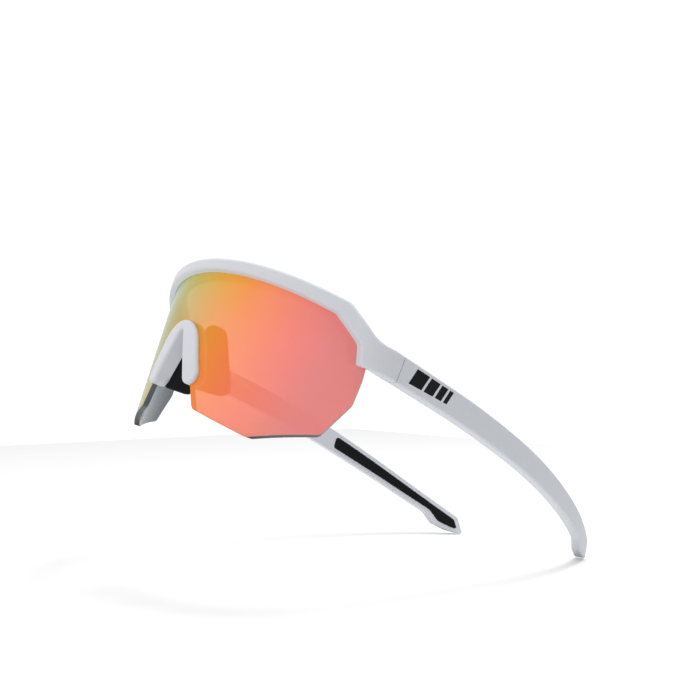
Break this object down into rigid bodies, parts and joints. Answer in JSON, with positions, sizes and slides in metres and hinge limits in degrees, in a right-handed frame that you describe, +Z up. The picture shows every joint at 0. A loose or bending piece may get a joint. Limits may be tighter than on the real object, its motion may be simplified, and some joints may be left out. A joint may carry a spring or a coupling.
{
  "type": "wraparound sport sunglasses",
  "caption": "Half-rim sport sunglasses: one curved shield lens, a white brow frame, a clip-on nose piece and two folding temples with rubber grips.",
  "frame": {"origin": "middle of the object's length and width, on the plane that it stands on", "axes": "+X is the wearer's left, -Y is the way the wearer looks, +Z is up as the glasses stand on a table"},
  "size_m": [0.141, 0.1784, 0.0586],
  "materials": {
    "white_frame": "satin moulded nylon",
    "mirror_lens": "polycarbonate with a red-orange mirror coat",
    "black_rubber": "soft-touch elastomer",
    "hinge_steel": "stamped stainless",
    "screw_steel": "turned stainless",
    "washer_nylon": "natural nylon"
  },
  "bodies": {
    "front": {"brow_frame": "white_frame", "shield_lens": "mirror_lens", "nose_saddle": "white_frame", "nose_pad_left": "black_rubber", "nose_pad_right": "black_rubber", "hinge_front_leaf_left": "hinge_steel", "hinge_front_leaf_right": "hinge_steel", "hinge_screw_left": "screw_steel", "hinge_screw_right": "screw_steel", "hinge_washers_left": "washer_nylon", "hinge_washers_right": "washer_nylon", "front_leaf_screws": "screw_steel"},
    "left_temple": {"temple_left": "white_frame", "temple_grip_left": "black_rubber", "hinge_temple_leaf_left": "hinge_steel", "temple_leaf_screws_left": "screw_steel"},
    "right_temple": {"temple_right": "white_frame", "temple_grip_right": "black_rubber", "hinge_temple_leaf_right": "hinge_steel", "temple_leaf_screws_right": "screw_steel"}
  },
  "joints": [
    {"name": "left_fold", "type": "hinge", "parent": "front", "child": "left_temple", "pos_m": [0.0655, -0.04453, 0.0333], "axis": [0, 0.1132, 0.9936], "range_deg": [0, 80]},
    {"name": "right_fold", "type": "hinge", "parent": "front", "child": "right_temple", "pos_m": [-0.0655, -0.04453, 0.0333], "axis": [0, -0.1132, -0.9936], "range_deg": [0, 65]}
  ]
}
